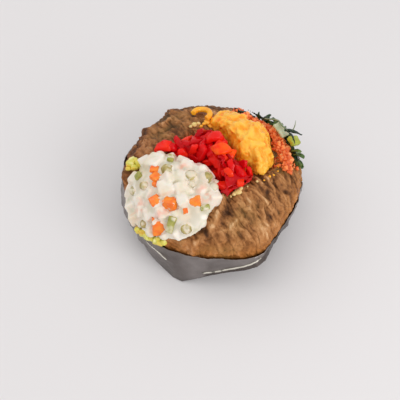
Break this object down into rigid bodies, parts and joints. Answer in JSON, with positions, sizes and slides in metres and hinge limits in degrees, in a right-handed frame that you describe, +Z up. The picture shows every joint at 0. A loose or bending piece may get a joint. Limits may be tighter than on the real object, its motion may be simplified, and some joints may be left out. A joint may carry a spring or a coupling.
{
  "type": "loaded baked potato in a foil wrap",
  "caption": "Whole baked potato in its wrinkled skin, slit open and heaped with mayonnaise salad, red pepper, cheese sauce, bulgur and greens, standing in a folded foil wrap.",
  "frame": {"origin": "middle of the base of the whole's box, on the surface it stands on", "axes": "+Z up; the folded corner of the foil points towards -Y, and the slit runs from -X -Y to +X +Y"},
  "size_m": [0.133, 0.135, 0.0697],
  "materials": {
    "potato_skin": "matt, wrinkled",
    "potato_flesh": "matt",
    "foil": "dull, crumpled",
    "mayonnaise_salad": "moist",
    "red_pepper": "wet",
    "cheese_sauce": "satin",
    "bulgur": "matt",
    "greens": "satin",
    "sweetcorn": "satin",
    "yellow_pepper": "wet",
    "pickle": "wet",
    "onion": "wet"
  },
  "bodies": {
    "root": {"potato": "potato_skin", "mash": "potato_flesh", "foil": "foil", "russian_salad": "mayonnaise_salad", "red_pepper": "red_pepper", "cheese_sauce": "cheese_sauce", "bulgur": "bulgur", "greens": "greens", "sweetcorn": "sweetcorn", "yellow_pepper": "yellow_pepper", "pickle": "pickle", "onion": "onion"}
  },
  "joints": []
}
